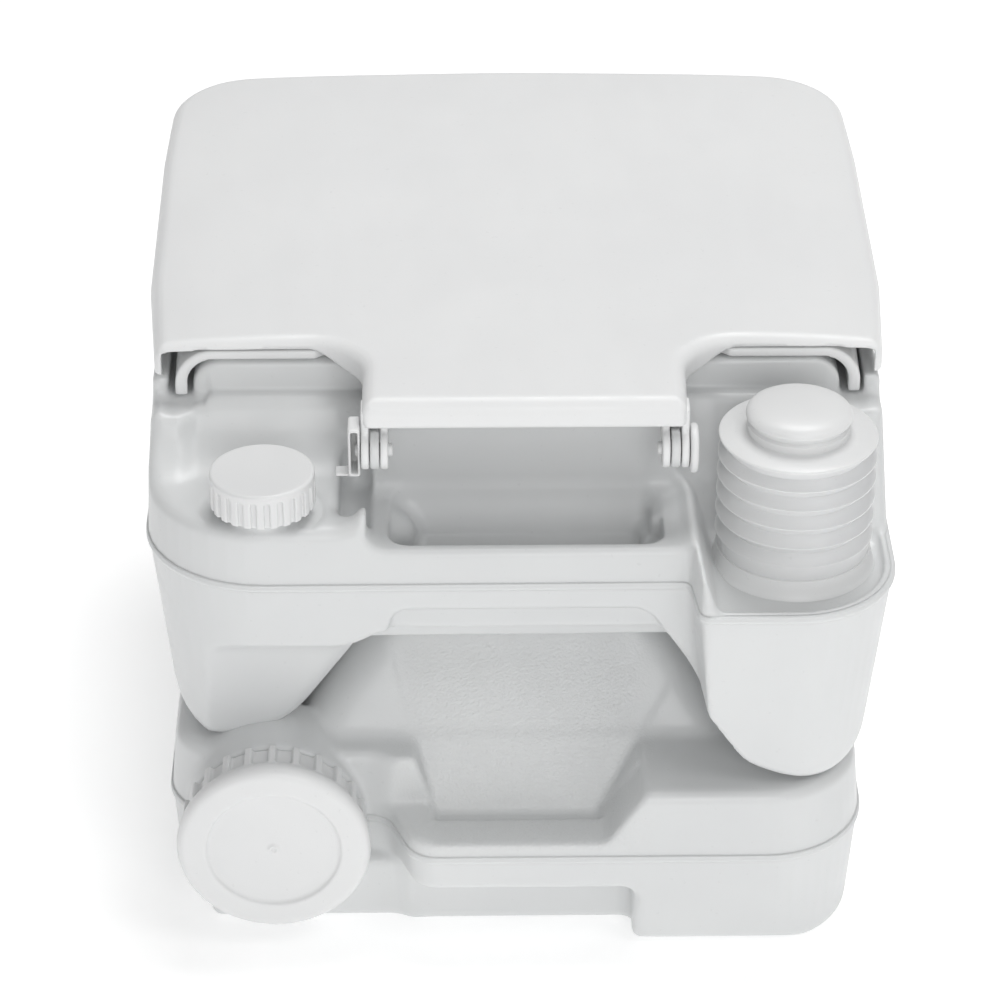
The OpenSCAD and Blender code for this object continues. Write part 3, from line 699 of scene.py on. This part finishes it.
plate = lathe(
    "pump_top",
    [[20.4, 256.4], [35.7, 256.4]] + arc((35.7, 257.3), 0.8, -70, 75, 6)
    + [[30, 258.6], [24.2, 259.2], [23.7, 259.6], [23.6, 263.2]]
    + [[22.3, 264.4], [22.3, 266.8], [19.9, 266.8], [19.9, 262]],
    PUMP, "pump_head",
)
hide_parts("pump_plate")
skin(plate, skins["pump"])
knob = lathe(
    "pump_button",
    [[0, 266.6], [22.8, 266.6]] + arc((23.4, 267.7), 1.1, -70, 10, 4)
    + [[24.2, 268.8], [23.4, 270.1], [21.5, 271.3], [18, 272.3]]
    + [[12, 273.0], [6, 273.3], [0, 273.4]],
    PUMP, "pump_head",
)
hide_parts("pump_knob")
skin(knob, skins["pump"])

# ---- Seat ----

SEAT = [
    (-160, -140, 4), (160, -140, 4), (166, 40, 200),
    (158, 196, 58), (-158, 196, 58), (-166, 40, 200),
]


def oval(x, y, a, b):
    """Roughly the distance outside of a rounded oval around the bowl."""
    u, v = np.abs(x) / a, np.abs(y - 22) / b
    r = (u ** 2.3 + v ** 2.3 + 1e-9) ** (1 / 2.3)
    return (r - 1) * 0.5 * (a + b)


def seat(x, y, z):
    s = outline(x, y, SEAT)
    hole = oval(x, y, 98, 112)
    top = 270.6
    f = smax(s, z - top, 18)
    f = smax(f, -93.6 - 3.9 * step01(np.abs(x - BLOCK_X), 92, 98) - y, 0.9)
    cavity = smax(smax(s + 5.6, z - top + 4.4, 13), 4.0 - hole, 2)
    f = cut(f, cavity, 0.8)
    f = cut(f, hole, 3.4)
    f = smax(f, 247.2 - z, 0.8)
    return cut(f, smax(z - 265.8, s + 16, 0.5), 0.5)


seat_ring = solid("seat_ring", seat, (-168, -99, 246), (168, 198, 272), fine, "seat")
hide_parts("seat")
skin(seat_ring, skins["lid"])


def ears(x, y, z, inner, top, front, rear, thick=3.6):
    """A pair of hinge ears around the hinge axis."""
    f = None
    for s in (-1, 1):
        a, b = BLOCK_X + s * inner, BLOCK_X + s * (inner + thick)
        x0, x1 = min(a, b), max(a, b)
        plate = hinge_radius(y, z) - 9
        riser = smax(np.maximum(rear - y, y + 144.5), np.maximum(HINGE_Z - z, z - top), 1)
        arm = smax(np.maximum(HINGE_Y - y, y - front), np.maximum(top - 5 - z, z - top), 1)
        plate = smin(smin(plate, riser, 2), arm, 3)
        ear = smax(plate, np.maximum(x0 - x, x - x1), 0.9)
        f = ear if f is None else np.minimum(f, ear)
    return cut(f, hinge_radius(y, z) - 3.1, 0.4)



def seat_ears(x, y, z):
    flap = box(x, y, z, (BLOCK_X - 66, -148, 267), (BLOCK_X + 66, -92, 270), 1)
    return smin(ears(x, y, z, 62.6, 270, -92, -153), flap, 0.5)


seat_hinge = solid(
    "seat_hinge_ears", seat_ears, (-66, -163, 240), (70, -90, 272), tiny, "seat"
)
skin(seat_hinge, skins["lid"])

# ---- Lid ----

LID = [
    (-170.5, -99, 5), (-72.5, -97, 26), (-72.5, -157.5, 4), (75.8, -157.5, 4), (77.6, -97, 26),
    (171, -99, 5), (177, -30, 200), (179.5, 110, 250), (178, 204, 40), (0, 210, 400),
    (-178, 204, 40), (-179.5, 110, 250),
    (-177, -30, 200),
]


def lid(x, y, z):
    s = outline(x, y, LID)
    top = 277 - 4.5 * (np.abs(x) / 176) ** 6 - 2.5 * np.clip((y - 60) / 150, 0, 1) ** 3
    f = smax(s, z - top, 7)
    cavity = smax(s + 2.9, z - top + 2.9, 4.5)
    f = cut(f, cavity, 0.7)
    f = smax(f, 258.4 - z, 0.7)
    # the skirt is cut back along the rear edge
    rear = 263.4 + 7.8 * step01(np.abs(x - BLOCK_X), 80, 100) - 1.2 * step01(np.abs(x), 150, 168)
    window = smax(smax(y + 86, z - rear, 2), np.abs(x) - 167.3, 0.5)
    return cut(f, window, 0.7)


lid_shell = solid("lid_shell", lid, (-181, -159, 258), (181, 212, 278), fine, "lid")
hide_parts("lid")
skin(lid_shell, skins["lid"])
lid_ears = solid("lid_hinge_ears", lambda x, y, z: ears(x, y, z, 71.4, 271, -144.5, -155.5),
                 (-75, -163, 240), (79, -140, 273), tiny, "lid")
skin(lid_ears, skins["lid"])

# ---- Hinge pins ----


def pin_right(x, y, z):
    axis = hinge_radius(y, z)
    f = smax(axis - 3, np.maximum(62.6 - x, x - 80), 0.5)
    return smin(f, smax(axis - 11.5, np.maximum(77.4 - x, x - 81.2), 1.6), 0.6)


def pin_left(x, y, z):
    axis = hinge_radius(y, z)
    f = smax(axis - 3, np.maximum(-76 - x, x + 58.6), 0.5)
    clip = box(x, y, z, (-79, -160, 239.4), (-73.4, -146, 264), 1)
    clip = cut(clip, box(x, y, z, (-77.7, -170, 241), (-74.6, -147.4, 262.6), 0.6), 0.4)
    clip = smax(clip, np.maximum(-400 - x, x + 73.45))
    f = smin(f, clip, 0.4)
    return smin(f, box(x, y, z, (-85, -158, 238.6), (-78, -150, 240.0), 0.6), 0.6)


pin_a = solid(
    "hinge_pin_round", pin_right, (61, -166, 237), (82, -140, 263), tiny, "tanks"
)
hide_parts("hinge_pin_right")
skin(pin_a, skins["pin"])
pin_b = solid(
    "hinge_pin_clip", pin_left, (-86, -162, 237), (-57, -144, 265), tiny, "tanks"
)
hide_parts("hinge_pin_left")
skin(pin_b, skins["pin"])

# ---- Gate handle and latches ----


def gate_handle(x, y, z):
    grip = box(x, y, z, (-44, 188, 150), (44, 206, 163), 4)
    grip = cut(grip, box(x, y, z, (-36, 193, 140), (36, 201, 158), 2), 1)
    plate = box(x, y, z, (-44, 174, 154.8), (44, 192, 157.7), 1)
    f = smin(grip, plate, 1.5)
    for k in range(5):
        f = cut(f, np.hypot(y - 206.6, z - 153 - 2 * k) - 0.8, 0.2)
    return cut(f, box(x, y, z, (-400, 180, 152), (400, 186.4, 154.8)), 0.2)


handle = solid(
    "gate_grip", gate_handle, (-46, 172, 149), (46, 208, 164), tiny, "gate"
)
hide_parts("gate_handle")
skin(handle, skins["handle"])


def latch(x, y, z):
    f = box(x, y, z, (164.4, -15, 72), (168.4, 35, 112), 1.4)
    f = smin(f, box(x, y, z, (160, -13, 104), (167, 33, 108), 1), 1)
    f = smin(f, smax(np.hypot(x - 166.5, z - 75) - 4, np.maximum(-15 - y, y - 35), 0.8), 1)
    for k in range(4):
        f = cut(f, smax(np.hypot(x - 169.2, z - 92 - 4 * k) - 1.3, np.abs(y - 10) - 18, 0.8), 0.3)
    return cut(f, np.hypot(x - 166.5, z - 75) - 1.65, 0.2)


for side, sign in (("right", 1), ("left", -1)):
    clip = solid(
        f"latch_clip_{side}", lambda x, y, z: latch(sign * x, y, z),
        (159 if sign > 0 else -171, -17, 70), (171 if sign > 0 else -159, 37, 113),
        tiny, f"latch_{side}",
    )
    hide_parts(f"latch_{side}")
    skin(clip, skins["latch"])

# ---- Finishes of the CAD nodes that are shown ----

FINISH = {
    skins["valve"]: ("valve_base", "valve_cover"),
    skins["handle"]: ("gate_blade",),
    skins["bowl"]: ("bowl_liner",),
    skins["tube"]: ("pickup_tube", "flush_tube", "flush_nozzle"),
    seal_skin: (
        "foot_valve", "gate_seal", "bowl_seal", "waste_cap_gasket", "fill_cap_gasket", "seat_bumpers",
    ),
    steel_skin: ("handle_screws", "valve_screws", "latch_pin_left", "latch_pin_right"),
}
for material, nodes in FINISH.items():
    for node in nodes:
        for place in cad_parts[node].material_slots:
            place.material = material

# ---- Floor, light and camera ----


def floor_material():
    m = Nodes("floor_paper")
    m.link(m.blend(m.spread(m.noise(3, 2), 0.0, 1.0), (0.93, 0.93, 0.93), (0.915, 0.915, 0.915)),
           m.shader.inputs["Base Color"])
    m.link(m.spread(m.noise(50, 3), 0.8, 0.95), m.shader.inputs["Roughness"])
    m.bump(m.noise(700, 2), 0.04, 0.0001)
    m.set(Emission_Color=(1, 1, 1, 1), Emission_Strength=0.36)
    return m.material


mesh = bpy.data.meshes.new("floor")
reach = 6.0  # far past the picture's edges
corners = [(-reach, -reach, 0), (reach, -reach, 0), (reach, reach, 0), (-reach, reach, 0)]
mesh.from_pydata(corners, [], [(0, 1, 2, 3)])
floor = bpy.data.objects.new("floor", mesh)
floor.location.z = -0.0002
bpy.context.scene.collection.objects.link(floor)
mesh.materials.append(floor_material())

world = bpy.data.worlds.new("studio")
world.use_nodes = True
world.node_tree.nodes["Background"].inputs["Color"].default_value = (1, 1, 1, 1)
world.node_tree.nodes["Background"].inputs["Strength"].default_value = 0.4
bpy.context.scene.world = world


def area_light(name, place, target, size, power):
    data = bpy.data.lights.new(name, "AREA")
    data.shape = "DISK"
    data.size = size
    data.energy = power
    obj = bpy.data.objects.new(name, data)
    obj.location = place
    obj.rotation_euler = (Vector(target) - Vector(place)).to_track_quat("-Z", "Y").to_euler()
    bpy.context.scene.collection.objects.link(obj)


area_light("key", (1.1, -1.2, 2.2), (0, 0, 0.15), 1.0, 7)
area_light("fill", (0.3, -2.7, 1.2), (0, 0, 0.12), 1.6, 22)
area_light("top", (0.3, 0.6, 2.5), (0, 0.05, 0.2), 1.2, 27)

camera_data = bpy.data.cameras.new("camera")
camera_data.lens = 126
camera_data.sensor_width = 36
camera = bpy.data.objects.new("camera", camera_data)
tilt, pan, roll = math.radians(31.5), math.radians(1.0), math.radians(0.15)
forward = Vector((math.sin(pan) * math.cos(tilt), math.cos(pan) * math.cos(tilt), -math.sin(tilt)))
right = Vector((math.cos(pan), -math.sin(pan), 0))
up = right.cross(forward)
right_rolled = right * math.cos(roll) + up * math.sin(roll)
up_rolled = -right * math.sin(roll) + up * math.cos(roll)
turn = Matrix((right_rolled, up_rolled, -forward)).transposed().to_4x4()
camera.matrix_world = Matrix.Translation(Vector((-0.0335, -1.5314, 1.0673))) @ turn
bpy.context.scene.collection.objects.link(camera)
bpy.context.scene.camera = camera
bpy.context.scene.view_settings.view_transform = "Standard"
